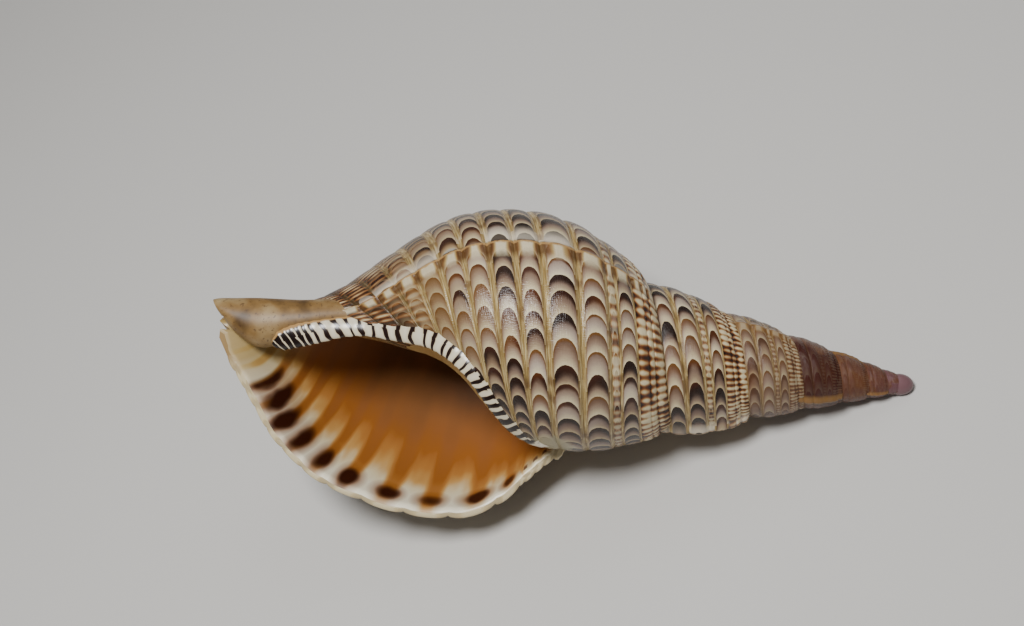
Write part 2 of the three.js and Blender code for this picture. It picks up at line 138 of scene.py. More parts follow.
SHIELD = [
    (236, 9, 4, 5), (248, 8, 6, 7.5), (260, 6.8, 7.2, 9), (273, 3.8, 8.6, 10),
    (290, 0.8, 10.8, 10), (300, 2.2, 8.4, 9), (306, 4.2, 5.8, 7.4), (308.5, 5.2, 4, 6),
]
SHIELD_TILT = 3.0
SHIELD_SIDES = 48
CANAL_WALL = 3.4
CANAL_SHARE = 0.62
CANAL_DROP = 0.2
CANAL_SHIFT = -0.5
CANAL_REACH = 12.0
INNER_LIP = [
    (160.5, -37.5, 2.2), (168.5, -36.8, 3.2), (177, -31.3, 4), (183.3, -24.5, 4.3),
    (188.7, -18.1, 4.3), (194.6, -11, 4.4), (200.9, -5, 4.6), (208, -0.2, 4.9), (216.8, 2.9, 5),
    (230.1, 3.4, 4.6), (243.4, 3.9, 4.3), (254.3, 2.6, 4.4), (265, -0.3, 5), (271.6, -2.3, 5.1),
    (277.9, -4.9, 4.6), (283.3, -7.5, 3.2),
]
INNER_LIP_STEPS = 330
INNER_LIP_SIDES = 28
INNER_LIP_SUNK = 0.4
SHIELD_FRONT = 8.5
INNER_LIP_RIDGES = 33
RIDGE_HEIGHT = 0.25
INNER_LIP_FLATNESS = 0.45
INNER_LIP_LEAN = 0.6
FRONT_TRIES = 12

# How the shell lies
SPIRE_DIP = 19.45
ROLL = 56.0
RESTING_FLAT = 0.8

# Markings: arches on the ribs, about 10 mm apart on the last whorl
ARCHES = 100.0
ARCH_GROWTH = 1.6
SPIRE_ARCHES = (7.0, -2.2)  # how many more there are in a turn, and before which turn

# The camera faces the axis squarely. Where the photograph's middle falls on the shell:
VIEW_ALONG = 181.9
VIEW_UP = 15.2
AXIS_SLOPE = 5.3
VIEW_SCALE = 0.43  # millimetres for each of the 1024 pixels across, at the axis
LENS = 50.0
SENSOR = 36.0
IMAGE_WIDTH = 1024

# The studio: place and size in metres, power in watts
LIGHTS = [
    ("key softbox", (-0.05, -0.22, 1.0), 0.3, 10.8),
    ("back softbox", (0.25, 0.6, 0.9), 0.7, 1.0),
]
LIT_POINT = (0, 0, 0.05)
WORLD_STRENGTH = 0.18
SMOOTH_ANGLE = 42.0

SHELL_IOR = 1.53
MAPS = ("ribs", "growth", "old lips")
OUTER, CAVITY, ENAMEL, SHIELD_SLOT = range(4)


def smoothstep(value, low, high):
    """Rises from 0 at low to 1 at high, level at both ends."""
    share = np.clip((value - low) / (high - low), 0, 1)
    return share * share * (3 - 2 * share)


def reach(turns):
    return LIP_REACH * WHORL_RATIO ** np.asarray(turns, float)


def catmull_rom(points, numbers):
    """Points on the smooth curve through points, whose second axis is numbered."""
    count = points.shape[1]
    low = np.minimum(np.floor(numbers).astype(int), count - 1)
    share = (numbers - low)[None, :, None]
    before = points[:, np.maximum(low - 1, 0)]
    start = points[:, low]
    end = points[:, np.minimum(low + 1, count - 1)]
    after = points[:, np.minimum(low + 2, count - 1)]
    lead_in = (end - before) / 2
    lead_out = (after - start) / 2
    return (
        (2 * start - 2 * end + lead_in + lead_out) * share ** 3
        + (-3 * start + 3 * end - 2 * lead_in - lead_out) * share ** 2
        + lead_in * share
        + start
    )


def outline(turns, numbers):
    """The smooth outline of the whorl at each turn, as along and out in millimetres."""
    turns = np.asarray(turns, float)[:, None, None]
    swell = smoothstep(turns, *BODY_SWELLS)
    lip = smoothstep(turns, *LIP_FORMS)
    body = SPIRE_OUTLINE + (BODY_OUTLINE - SPIRE_OUTLINE) * swell
    blended = body + (LIP_OUTLINE - body) * lip
    return catmull_rom(blended, np.asarray(numbers, float)) * reach(turns)


def rib_place(numbers):
    """Rib index plus the share across that rib."""
    index = np.clip(np.searchsorted(GROOVES, numbers + 1e-6, side="right") - 1, 0, len(GROOVES) - 2)
    width = GROOVES[index + 1] - GROOVES[index]
    return index + np.clip((numbers - GROOVES[index]) / width, 0, 0.999), width


def rib_height(turns, numbers):
    place, width = rib_place(numbers)
    across = 2 * (place - np.floor(place)) - 1
    crest = np.maximum(0, 1 - np.abs(across) ** 2.4) ** 0.6
    beads = 0.5 - 0.5 * np.cos(2 * np.pi * BEADS_IN_A_TURN * np.asarray(turns)[:, None])
    beaded = (numbers < BEADED_TO)[None, :] * BEAD_DEPTH
    return np.minimum(1, width) * crest * (1 - beaded * beads)


def varix_height(turns):
    return sum(
        height * np.exp(-((turns - crest) / half_width) ** 2)
        for crest, height, half_width in VARICES
    )


def lip_rounding(turns):
    """How far the rim is rounded back at turns near the edge of the lip."""
    behind = -turns * LIP_CIRCUMFERENCE
    gap = np.clip(LIP_ROUNDING - behind, 0, LIP_ROUNDING)
    return LIP_ROUNDING - np.sqrt(LIP_ROUNDING ** 2 - gap ** 2)


def relief(turns, numbers):
    turns = np.asarray(turns, float)
    size = reach(turns)[:, None]
    ribs = RIB_HEIGHT * rib_height(turns, numbers) * size
    varix = varix_height(turns)[:, None] * size
    flare = LIP_FLARE * np.exp(turns / LIP_FLARE_LENGTH)[:, None]
    fade = smoothstep(numbers, *SUTURE_FADE) * (1 - smoothstep(numbers, *BASE_FADE))
    return ribs + (varix + flare) * fade - lip_rounding(turns)[:, None]


def arch_phase(turns):
    more, until = SPIRE_ARCHES
    return ARCHES * WHORL_RATIO ** (ARCH_GROWTH * turns) + more * np.minimum(turns - until, 0)


def place(along, out, turns):
    """From along, out and turn to the shell's own frame: tip to +X, front to -Y, up to +Z."""
    bearing = np.radians(LIP_BEARING + 360 * turns)
    return np.stack([-along, -out * np.cos(bearing), out * np.sin(bearing)], -1)


def lay_down(points):
    """Turns the shell from its own frame to the way it lies, still about the virtual tip."""
    dip = Matrix.Rotation(math.radians(SPIRE_DIP), 3, "Y")
    roll = Matrix.Rotation(math.radians(-ROLL), 3, "X")
    return points @ np.array(dip @ roll).T


def select_only(piece):
    bpy.ops.object.select_all(action="DESELECT")
    bpy.context.view_layer.objects.active = piece
    piece.select_set(True)


def give_finishes(mesh, slot):
    """Gives the mesh every finish, in the same order, and puts all its faces in one slot."""
    for finish in finishes:
        mesh.materials.append(finish)
    mesh.polygons.foreach_set("material_index", np.full(len(mesh.polygons), slot, np.int32))


def ring_solid(name, rings, maps, slot, wraps=False):
    """A closed mesh from a row of rings, with the markings' coordinates as UV maps."""
    rows, count = rings.shape[:2]
    row, column = np.meshgrid(np.arange(rows - 1), np.arange(count), indexing="ij")
    ahead = (column + 1) % count
    corners = [(row, column), (row, ahead), (row + 1, ahead), (row + 1, column)]
    quads = np.stack([r * count + c for r, c in corners], -1).reshape(-1, 4)
    last = (rows - 1) * count
    faces = quads.tolist() + [list(range(count))[::-1], list(range(last, last + count))]
    mesh = bpy.data.meshes.new(name)
    mesh.from_pydata(rings.reshape(-1, 3).tolist(), [], faces)
    map_ahead = column + 1 if wraps else ahead
    map_corners = [(row, column), (row, map_ahead), (row + 1, map_ahead), (row + 1, column)]
    for map_name, values in zip(MAPS, maps):
        layer = mesh.uv_layers.new(name=map_name)
        flat = np.stack([values[r, c] for r, c in map_corners], 2).reshape(-1, 2)
        caps = np.concatenate([values[0, :count][::-1], values[-1, :count]])
        layer.uv.foreach_set("vector", np.concatenate([flat, caps]).astype(np.float32).ravel())
    give_finishes(mesh, slot)
    solid = bpy.data.objects.new(name, mesh)
    bpy.context.collection.objects.link(solid)
    select_only(solid)
    bpy.ops.object.mode_set(mode="EDIT")
    bpy.ops.mesh.select_all(action="SELECT")
    bpy.ops.mesh.normals_make_consistent(inside=False)
    bpy.ops.object.mode_set(mode="OBJECT")
    return solid


def combine(body, tool, operation):
    modifier = body.modifiers.new("combine", "BOOLEAN")
    modifier.object = tool
    modifier.solver = "MANIFOLD"
    modifier.operation = operation
    select_only(body)
    bpy.ops.object.modifier_apply(modifier=modifier.name)
    mesh = tool.data
    bpy.data.objects.remove(tool)
    bpy.data.meshes.remove(mesh)
    return body


def rib_samples(wide, narrow):
    """Sample numbers on the outline: shares across each wide and each narrow rib."""
    numbers = []
    for low, high in zip(GROOVES[:-1], GROOVES[1:]):
        shares = wide if high - low > 0.55 and low > 2 else narrow
        numbers += [low + (high - low) * share for share in shares]
    return np.array(numbers)


def coil_rings(turns, section, numbers):
    """The sections placed round the axis, led by a smaller one, with their maps."""
    lead = section[:1] + (section[:1].mean(1, keepdims=True) - section[:1]) * JOIN_SHRINK
    section = np.concatenate([lead, section])
    turns = np.concatenate([[turns[0] - JOIN_TURN], turns])
    rings = place(section[..., 0], section[..., 1], turns[:, None])
    return rings, marking_maps(turns, numbers)


def whorl_rings(turns, numbers):
    """Closed sections of a whorl, from its outline to the axis."""
    turns = np.asarray(turns, float)
    section = outline(turns, numbers)
    section[..., 1] += relief(turns, numbers)
    foot = outline(turns, [len(SPIRE_OUTLINE) - 1])
    gap = AXIS_GAP * reach(turns)
    foot_in = np.stack([foot[:, 0, 0], gap], -1)[:, None]
    start = np.stack([reach(turns), gap], -1)[:, None]
    section = np.concatenate([section, foot, foot_in, start], 1)
    return coil_rings(turns, section, np.concatenate([numbers, [numbers[-1]] * 3]))


def marking_maps(turns, numbers):
    """Where each point is on its rib and arch, in growth, and from the nearest old lip."""
    turn, number = np.meshgrid(turns, numbers, indexing="ij")
    ribs = np.stack([rib_place(number)[0], arch_phase(turn)], -1)
    growth = np.stack([number, turn], -1)
    from_lips = turn[..., None] - np.array([crest for crest, _, _ in VARICES])
    nearest = np.abs(from_lips).argmin(-1)[..., None]
    offset = np.take_along_axis(from_lips, nearest, -1)[..., 0]
    old_lips = np.stack([offset, np.exp(-(offset / 0.06) ** 2)], -1)
    return ribs, growth, old_lips


def even_turns(start, end, steps):
    return np.linspace(start, end, steps + 1)


def make_whorls():
    """The coil, half a turn at a time, from the last whorl back to the oldest."""
    wide = (0, 0.05, 0.16, 0.3, 0.5, 0.7, 0.84, 0.95)
    narrow = (0, 0.12, 0.35, 0.65, 0.88)
    numbers = rib_samples(wide, narrow)
    body = None
    rim = -np.array(RIM_STEPS + (0.05, 0)) / LIP_CIRCUMFERENCE
    for start, end in ((-1, -0.5), (-0.5, 0)):
        turns = even_turns(start, end, 180)
        if end == 0:
            turns = np.concatenate([turns[turns < rim[0] - RIM_GAP], rim])
        solid = ring_solid("last whorl", *whorl_rings(turns, numbers), OUTER)
        body = combine(body, solid, "UNION") if body else solid
    # Shares across wide and narrow ribs, and steps in half a turn, of each older whorl
    samples = [
        ((0, 0.08, 0.3, 0.5, 0.7, 0.92), (0, 0.2, 0.5, 0.8), 150),
        ((0, 0.1, 0.35, 0.65, 0.9), (0, 0.3, 0.7), 110),
        ((0, 0.12, 0.5, 0.88), (0, 0.5), 80),
        ((0, 0.2, 0.8), (0, 0.5), 60),
        ((0, 0.2, 0.8), (0, 0.5), 45),
        ((0, 0.5), (0, 0.5), 34),
        ((0, 0.5), (0, 0.5), 24),
    ]
    for whorl, (wide, narrow, steps) in enumerate(samples, 1):
        numbers = rib_samples(wide, narrow)
        numbers = numbers[numbers < BURIED_FROM]
        for half in (0, 0.5):
            start = max(FIRST_TURN, -whorl - 1 + half)
            end = -whorl - 0.5 + half
            if end - start < SHORTEST_PIECE:
                continue
            turns = even_turns(start, end, steps)
            solid = ring_solid("whorl", *whorl_rings(turns, numbers), OUTER)
            body = combine(body, solid, "UNION")
    return body


def give_maps(mesh, values):
    """Gives a plain mesh the same marking coordinates all over."""
    while mesh.uv_layers:
        mesh.uv_layers.remove(mesh.uv_layers[0])
    for name, value in zip(MAPS, values):
        layer = mesh.uv_layers.new(name=name)
        layer.uv.foreach_set("vector", np.tile(np.float32(value), len(mesh.loops)))


def make_tip():
    """The blunt first whorls, worn smooth."""
    bpy.ops.object.select_all(action="DESELECT")
    bpy.ops.mesh.primitive_uv_sphere_add(
        segments=32, ring_count=16, location=(-TIP_MIDDLE, 0, 0), rotation=(0, math.pi / 2, 0),
        scale=(TIP_RADIUS, TIP_RADIUS, TIP_HALF_LENGTH),
    )
    tip = bpy.context.object
    tip.name = "tip"
    bpy.ops.object.transform_apply(location=True, rotation=True, scale=True)
    give_maps(tip.data, ((6.5, arch_phase(FIRST_TURN)), (4.5, FIRST_TURN), (1.0, 0.0)))
    give_finishes(tip.data, OUTER)
    return tip


def circle(sides):
    angle = 2 * np.pi * np.arange(sides) / sides
    return np.cos(angle), np.sin(angle)


def through(points, steps):
    """Points on the smooth curve through some rows of numbers."""
    rows = np.array(points, float)[None]
    return catmull_rom(rows, np.linspace(0, rows.shape[1] - 1.0001, steps + 1))[0]


def ellipse_rings(rows, sides):
    """Rings from rows of along, up, front, half height and half depth."""
    across, above = circle(sides)
    return np.stack([
        -rows[:, 0, None] + 0 * above,
        -rows[:, 2, None] - rows[:, 4, None] * across,
        rows[:, 1, None] + rows[:, 3, None] * above,
    ], -1)


def plain_maps(rings):
    """Marking coordinates for a bar: round it, and along it in millimetres."""
    count = rings.shape[1]
    middle = rings.mean(1)
    length = np.concatenate([[0], np.cumsum(np.linalg.norm(np.diff(middle, axis=0), axis=1))])
    around, along = np.meshgrid(np.arange(count + 1) / count, length)
    return [np.stack([around, along], -1)] * 3


def make_axis_rod():
    rows = np.array([(along, 0, 0, radius, radius) for along, radius in AXIS_ROD])
    rings = ellipse_rings(rows, 12)
    return ring_solid("axis", rings, plain_maps(rings), OUTER, wraps=True)


def make_shield():
    rows = through([(along, up, 0, height, depth) for along, up, height, depth in SHIELD], 44)
    rings = ellipse_rings(rows, SHIELD_SIDES)
    tilt = SHIELD_TILT * np.linspace(0, 1, len(rings))
    rings[..., 0] -= tilt[:, None] * circle(SHIELD_SIDES)[1]
    return ring_solid("shield", rings, plain_maps(rings), SHIELD_SLOT, wraps=True)


def make_canal_cutter():
    """The canal's tube: the shield less its wall, carried on past its end."""
    def canal_size(size):
        return max(size - CANAL_WALL, size * CANAL_SHARE)

    rows = [
        (along, up - CANAL_DROP, CANAL_SHIFT, canal_size(height), canal_size(depth))
        for along, up, height, depth in SHIELD
    ]
    rows.append((SHIELD[-1][0] + CANAL_REACH,) + rows[-1][1:])
    rings = ellipse_rings(through(rows, 40), 32)
    return ring_solid("canal", rings, plain_maps(rings), SHIELD_SLOT, wraps=True)


def make_cavity():
    """The space inside the last whorl: its outline less the wall, less the whorl inside it."""
    halves = []
    rim = -np.array(RIM_STEPS + (0,)) / LIP_CIRCUMFERENCE
    for start, end in ((CAVITY_END, CAVITY_MIDDLE), (CAVITY_MIDDLE, CAVITY_START)):
        turns = even_turns(start, end, 40)
        if end > 0:
            turns = turns[(turns < rim[0] - RIM_GAP) | (turns > 1.5 * RIM_GAP)]
            turns = np.sort(np.concatenate([turns, rim]))
        halves.append(ring_solid("cavity", *cavity_rings(turns), CAVITY))
    return combine(halves[0], halves[1], "UNION")


def cavity_rings(turns):
    """Closed sections of the cavity, flared and scalloped at the lip like the whorl."""
    wall = (WALL * np.minimum(1, WHORL_RATIO ** (turns - WALL_THINS_FROM)))[:, None]
    numbers = np.linspace(*CAVITY_OUTER)
    here = outline(turns, numbers)
    ahead = outline(turns, numbers + 0.05) - here
    ahead /= np.linalg.norm(ahead, axis=-1, keepdims=True)
    flare = LIP_FLARE * np.exp(np.minimum(turns, 0) / LIP_FLARE_LENGTH)[:, None]
    edge = lip_rounding(np.minimum(turns, 0))[:, None]
    scallop = LIP_RIDGE * (rib_height(np.zeros(1), numbers) - 0.5)
    scallop = scallop * np.exp(np.minimum(turns, 0) / LIP_RIDGE_LENGTH)[:, None]
    opened = smoothstep(numbers, *CAVITY_FADE) * (1 - smoothstep(numbers, *BASE_FADE))
    lift = (flare * opened + edge + scallop) * ahead[..., 0] - wall
    outer = np.stack([here[..., 0] - ahead[..., 1] * lift, here[..., 1] + ahead[..., 0] * lift], -1)
    inner_numbers = np.linspace(*CAVITY_INNER)
    inner = outline(turns - 1, inner_numbers) + CAVITY_OUTSET
    gap = CAVITY_GAP * reach(turns)
    narrowed = 1 - (1 - CANAL_LEFT_OPEN) * smoothstep(turns, *CANAL_NARROWS)
    end = np.stack([outer[:, -1, 0] + CANAL_BREAKS_OUT, outer[:, -1, 1] * narrowed], -1)[:, None]
    foot = np.stack([end[:, 0, 0], gap], -1)[:, None]
    start = np.stack([inner[:, 0, 0] + 2, gap], -1)[:, None]
    section = np.concatenate([outer, end, foot, start, inner], 1)
    base = [CAVITY_OUTER[1]] * 3
    return coil_rings(turns, section, np.concatenate([numbers, base, inner_numbers * 0 + 13]))


def make_front_cutter():
    """Opens the front of the last whorl, its inner side sloping into the aperture."""
    points = np.array(FRONT_OPENING, float)
    ahead = np.gradient(points, axis=0)
    ahead /= np.linalg.norm(ahead, axis=1, keepdims=True)
    inward = np.stack([ahead[:, 1], -ahead[:, 0]], 1)
    # Only the inner side slopes, fading out at both of its ends
    side = np.arange(len(points))
    share = np.clip(np.minimum(side / 3, (OPENING_SIDE - 1 - side) / 4), 0, 1)[:, None]
    rings = []
    floor = OPENING_SLOPE[0][0] + CANAL_FLOOR * smoothstep(points[:, 0], *CANAL_FLOOR_RISES)
    for front, slope in OPENING_SLOPE:
        line = points + inward * share * slope
        rings.append(np.stack([-line[:, 0], -np.maximum(front, floor), line[:, 1]], -1))
    rings = np.stack(rings)
    maps = marking_maps(np.full(len(rings), -0.12), np.full(len(points), 13.0))
    return ring_solid("front opening", rings, maps, CAVITY)


def whorl_front(along, up):
    """How far in front of the axis the last whorl's surface is, closer with each try."""
    front = 20.0
    for _ in range(FRONT_TRIES):
        turn = math.degrees(math.atan2(up, front)) / 360 - 0.75
        numbers = np.linspace(0, len(SPIRE_OUTLINE) - 1, 400)
        line = outline([turn], numbers)[0]
        out = np.interp(along, line[:, 0], line[:, 1])
        front = math.sqrt(max(out * out - up * up, 1))
    return front


def bar_rings(curve, flat, lean, sides):
    """Rings round a curve of along, up, front and half width, flat against the whorl."""
    centre = np.stack([-curve[:, 0], -curve[:, 2], curve[:, 1]], -1)
    ahead = np.gradient(centre, axis=0)
    ahead /= np.linalg.norm(ahead, axis=1, keepdims=True)
    outwards = centre * (0, 1, lean)
    across = np.cross(ahead, outwards)
    across /= np.linalg.norm(across, axis=1, keepdims=True)
    lift = np.cross(across, ahead)
    cosine, sine = circle(sides)
    half = curve[:, 3][:, None, None]
    return (
        centre[:, None]
        + lift[:, None] * half * flat * cosine[None, :, None]
        + across[:, None] * half * sine[None, :, None]
    )


def make_inner_lip():
    """The ridged band of enamel on the wall beside the aperture."""
    rows = [
        (along, up, max(whorl_front(along, up) - INNER_LIP_SUNK, SHIELD_FRONT), width)
        for along, up, width in INNER_LIP
    ]
    curve = through(rows, INNER_LIP_STEPS)
    share = np.arange(INNER_LIP_STEPS + 1) / INNER_LIP_STEPS
    ridge = RIDGE_HEIGHT * (0.5 - 0.5 * np.cos(2 * np.pi * INNER_LIP_RIDGES * share))
    ends = np.minimum(1, np.sqrt(np.clip(np.minimum(share, 1 - share) * 22, 0.01, 1)))
    curve[:, 3] = (curve[:, 3] + ridge) * ends
    rings = bar_rings(curve, INNER_LIP_FLATNESS, INNER_LIP_LEAN, INNER_LIP_SIDES)
    around = np.arange(INNER_LIP_SIDES + 1) / INNER_LIP_SIDES
    around, number = np.meshgrid(around, share * INNER_LIP_RIDGES)
    maps = [np.stack([around, number], -1)] * 3
    return ring_solid("inner lip", rings, maps, ENAMEL, wraps=True)


def make_shell():
    """The whole shell as one closed mesh, in its own frame."""
    outside = make_whorls()
    for piece in (make_tip(), make_axis_rod(), make_shield()):
        combine(outside, piece, "UNION")
    for cutter in (make_cavity(), make_canal_cutter(), make_front_cutter()):
        combine(outside, cutter, "DIFFERENCE")
    combine(outside, make_inner_lip(), "UNION")
    outside.name = "shell"
    outside.data.name = "shell"
    return outside


def put_in_frame(piece):
    """Lays the piece down where the frame's solid lies, in metres, flat where it rests."""
    low, high = (np.array(corner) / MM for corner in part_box("triton_shell"))
    points = np.empty(len(piece.data.vertices) * 3, np.float32)
    piece.data.vertices.foreach_get("co", points)
    points = lay_down(points.reshape(-1, 3).astype(float))
    middle = (points.min(0) + points.max(0)) / 2
    shift = (low + high) / 2 - middle
    shift[2] = low[2] - points[:, 2].min() - RESTING_FLAT
    points += shift
    points[:, 2] = np.maximum(points[:, 2], low[2])
    piece.data.vertices.foreach_set("co", (points * MM).astype(np.float32).ravel())
    piece.data.update()
    return shift


def linear(hex_colour):
    """An sRGB hex colour as linear red, green, blue and alpha."""
    values = [int(hex_colour[i:i + 2], 16) / 255 for i in (1, 3, 5)]
    return [v / 12.92 if v <= 0.04045 else ((v + 0.055) / 1.055) ** 2.4 for v in values] + [1.0]


def add_node(tree, kind, inputs=None, stops=(), **settings):
    """Adds a node; an input is a number, a hex colour, or a node or socket to link."""
    node = tree.nodes.new("ShaderNode" + kind)
    for name, value in settings.items():
        setattr(node, name, value)
    for key, value in (inputs or {}).items():
        if isinstance(value, bpy.types.Node):
            value = value.outputs[0]
        if isinstance(value, str):
            value = linear(value)
        if isinstance(value, bpy.types.NodeSocket):
            tree.links.new(value, node.inputs[key])
        else:
            node.inputs[key].default_value = value
    if stops:
        ramp = node.color_ramp.elements
        ramp[0].position, ramp[0].color = stops[0][0], linear(stops[0][1])
        ramp[1].position, ramp[1].color = stops[-1][0], linear(stops[-1][1])
        for position, colour in stops[1:-1]:
            ramp.new(position).color = linear(colour)
    return node


def new_material(name, roughness):
    material = bpy.data.materials.new(name)
    material.use_nodes = True
    shader = material.node_tree.nodes["Principled BSDF"]
    shader.inputs["Roughness"].default_value = roughness
    shader.inputs["IOR"].default_value = SHELL_IOR
    return material, material.node_tree, shader


def marking_inputs(tree):
    """The maps, place along the rib, outline number, turn, rib index and place across the rib."""
    ribs = add_node(tree, "UVMap", uv_map="ribs")
    growth = add_node(tree, "UVMap", uv_map="growth")
    rib = add_node(tree, "SeparateXYZ", {0: ribs})
    grown = add_node(tree, "SeparateXYZ", {0: growth})
    index = add_node(tree, "Math", {0: rib}, operation="FLOOR")
    share = add_node(tree, "Math", {0: rib}, operation="FRACT")
    across = add_node(tree, "Math", {0: share, 1: 2.0, 2: -1.0}, operation="MULTIPLY_ADD")
    return ribs, growth, rib.outputs[1], grown.outputs[0], grown.outputs[1], index, across


def make_outer_material():
    """Ribbed shell, naturally glossy: rows of brown arches on cream, olive-gold in the grooves."""
    material, tree, shader = new_material("polished ribbed shell", 0.25)
    shader.inputs["Specular IOR Level"].default_value = 0.32
    ribs, growth, along, number, turn, index, across = marking_inputs(tree)
    aside = add_node(tree, "Math", {0: across}, operation="ABSOLUTE")

    # Noises over the whorls: how often they change in an outline point and in a turn, and detail
    noises = {}
    for name, by_point, by_turn, detail in (
        ("bands", 0.3, 13.0, 1.0), ("cords", 26.0, 30.0, 2.0), ("mottle", 1.4, 19.0, 1.0),
        ("clouds", 0.28, 9.0, 2.0), ("lines", 6.0, 620.0, 1.0), ("threads", 30.0, 60.0, 2.0),
    ):
        spot = add_node(tree, "VectorMath", {0: growth, 1: (by_point, by_turn, 0.0)},
                        operation="MULTIPLY")
        noises[name] = add_node(tree, "TexNoise", {"Vector": spot, "Scale": 1.0, "Detail": detail},
                                noise_dimensions="2D")

    # Where each arch stands along its rib: uneven spacing, no two ribs in step
    rib_seed = add_node(tree, "TexWhiteNoise", {1: index}, noise_dimensions="1D")
    slow = add_node(tree, "Math", {0: along, 1: 0.3}, operation="MULTIPLY")
    far = add_node(tree, "Math", {0: index, 1: 5.3}, operation="MULTIPLY")
    slow_place = add_node(tree, "CombineXYZ", {0: far, 1: slow})
    drift = add_node(tree, "TexNoise", {"Vector": slow_place, "Scale": 1.0, "Detail": 1.0},
                     noise_dimensions="2D")
    phase = add_node(tree, "Math", {0: drift, 1: 1.1, 2: along}, operation="MULTIPLY_ADD")
    phase = add_node(tree, "Math", {0: rib_seed, 1: 0.8, 2: phase}, operation="MULTIPLY_ADD")
    ragged = add_node(tree, "TexNoise", {"Vector": ribs, "Scale": 5.5, "Detail": 2.0},
                      noise_dimensions="2D")
    phase = add_node(tree, "Math", {0: ragged, 1: 0.08, 2: phase}, operation="MULTIPLY_ADD")

    # The arch: a half ellipse over the crest of the rib, its legs running down beside it
    crest = add_node(tree, "Math", {0: aside, 1: 0.74}, operation="DIVIDE", use_clamp=True)
    crest = add_node(tree, "Math", {0: crest, 1: 2.1}, operation="POWER")
    fall = add_node(tree, "Math", {0: 1.0, 1: crest}, operation="SUBTRACT")
    fall = add_node(tree, "Math", {0: fall}, operation="SQRT")
    bow = add_node(tree, "Math", {0: fall, 1: -0.78, 2: phase}, operation="MULTIPLY_ADD")
    below = add_node(tree, "Math", {0: bow, 1: -1.0}, operation="MULTIPLY")
    depth = add_node(tree, "Math", {0: below}, operation="FRACT")
    arch = add_node(tree, "Math", {0: below}, operation="FLOOR")
    arch_place = add_node(tree, "CombineXYZ", {0: index, 1: arch})
    seed = add_node(tree, "TexWhiteNoise", {0: arch_place}, noise_dimensions="2D")
    seeds = add_node(tree, "SeparateColor", {0: seed.outputs[1]})

    # Dark arches gather along the growth lines, most of all twice in a turn, and are deeper. The wave
    # is darkest along the lower edge of the last whorl: partly the shell's own dark caps gathered
    # there, partly painted shade on the underside
    dark = add_node(tree, "Math", {0: turn, 1: 4 * math.pi, 2: -0.6}, operation="MULTIPLY_ADD")
    dark = add_node(tree, "Math", {0: dark}, operation="COSINE")
    dark = add_node(tree, "Math", {0: dark, 1: 0.25, 2: noises["bands"]}, operation="MULTIPLY_ADD")
    dark = add_node(tree, "Math", {0: seeds.outputs[0], 1: 0.5, 2: dark}, operation="MULTIPLY_ADD")
    dark = add_node(tree, "MapRange", {0: dark, 1: 0.48, 2: 0.83})
    length = add_node(tree, "Math", {0: seeds.outputs[1], 1: 0.5, 2: 0.3}, operation="MULTIPLY_ADD")
    length = add_node(tree, "Math", {0: length, 1: dark}, operation="MULTIPLY")
    length = add_node(tree, "Math", {0: length, 1: 0.2}, operation="ADD")
    cap = add_node(tree, "Math", {0: depth, 1: length}, operation="DIVIDE")
    cap = add_node(tree, "MapRange", {0: cap, 1: 1.0, 2: 0.35}, interpolation_type="SMOOTHSTEP")
    cap_colour = add_node(tree, "ValToRGB", {0: dark}, stops=(
        (0.0, "#6b4620"), (0.25, "#552c10"), (0.5, "#36160b"), (0.8, "#200c07"), (1.0, "#170705"),
    ))
    pale = add_node(tree, "ValToRGB", {0: depth}, stops=(
        (0.0, "#523a2d"), (0.3, "#785f4e"), (0.6, "#9f8873"), (0.85, "#cab893"), (1.0, "#e0d1a9"),
    ))
    milky = add_node(tree, "ValToRGB", {0: depth}, stops=(
        (0.0, "#6b574b"), (0.25, "#a39084"), (0.6, "#c0b0a0"), (0.85, "#d6c9ac"), (1.0, "#e4d8b6"),
    ))
    milkiness = add_node(tree, "MapRange", {0: seeds.outputs[2], 1: 0.5, 2: 0.9, 4: 0.75})
    rusty = add_node(tree, "MapRange", {0: seeds.outputs[1], 1: 0.6, 2: 0.85, 4: 0.55})
    near_cap = add_node(tree, "MapRange", {0: depth, 1: 0.55, 2: 0.2})
    rusty = add_node(tree, "Math", {0: rusty, 1: near_cap}, operation="MULTIPLY")
    dusky = add_node(tree, "ValToRGB", {0: depth}, stops=(
        (0.0, "#2c1a17"), (0.5, "#57403a"), (0.8, "#846b58"), (1.0, "#b9a27a"),
    ))
    dusk = add_node(tree, "MapRange", {0: dark, 1: 0.3, 2: 1.0, 4: 0.85})
    towards_base = add_node(tree, "MapRange", {0: number, 1: 6.3, 2: 8.5, 4: 0.6})

    # Grooves: hair-fine olive-gold cords, a brown line along the foot of the rib, brown patches
    golden = add_node(tree, "ValToRGB", {0: noises["cords"]}, stops=(
        (0.3, "#80683a"), (0.45, "#9c8350"), (0.6, "#b39b69"), (0.75, "#d2c090"),
    ))
    patch_place = add_node(tree, "VectorMath", {0: ribs, 1: (1.0, 0.8, 0.0), 2: (0.5, 0.0, 0.0)},
                           operation="MULTIPLY_ADD")
    patch = add_node(tree, "TexNoise", {"Vector": patch_place, "Scale": 1.0, "Detail": 1.0},
                     noise_dimensions="2D")
    patch = add_node(tree, "MapRange", {0: patch, 1: 0.58, 2: 0.74, 4: 0.6},
                     interpolation_type="SMOOTHSTEP")
    groove = add_node(tree, "Mix", {0: patch, 6: golden, 7: "#4e2a12"}, data_type="RGBA")
    foot = add_node(tree, "Math", {0: ragged, 1: 0.1, 2: aside}, operation="MULTIPLY_ADD")
    foot_line = add_node(tree, "Math", {0: foot, 1: 0.79}, operation="SUBTRACT")
    foot_line = add_node(tree, "Math", {0: foot_line}, operation="ABSOLUTE")
    foot_line = add_node(tree, "MapRange", {0: foot_line, 1: 0.07, 2: 0.01, 4: 0.45})
    beside = add_node(tree, "MapRange", {0: foot, 1: 0.72, 2: 0.92}, interpolation_type="SMOOTHSTEP")

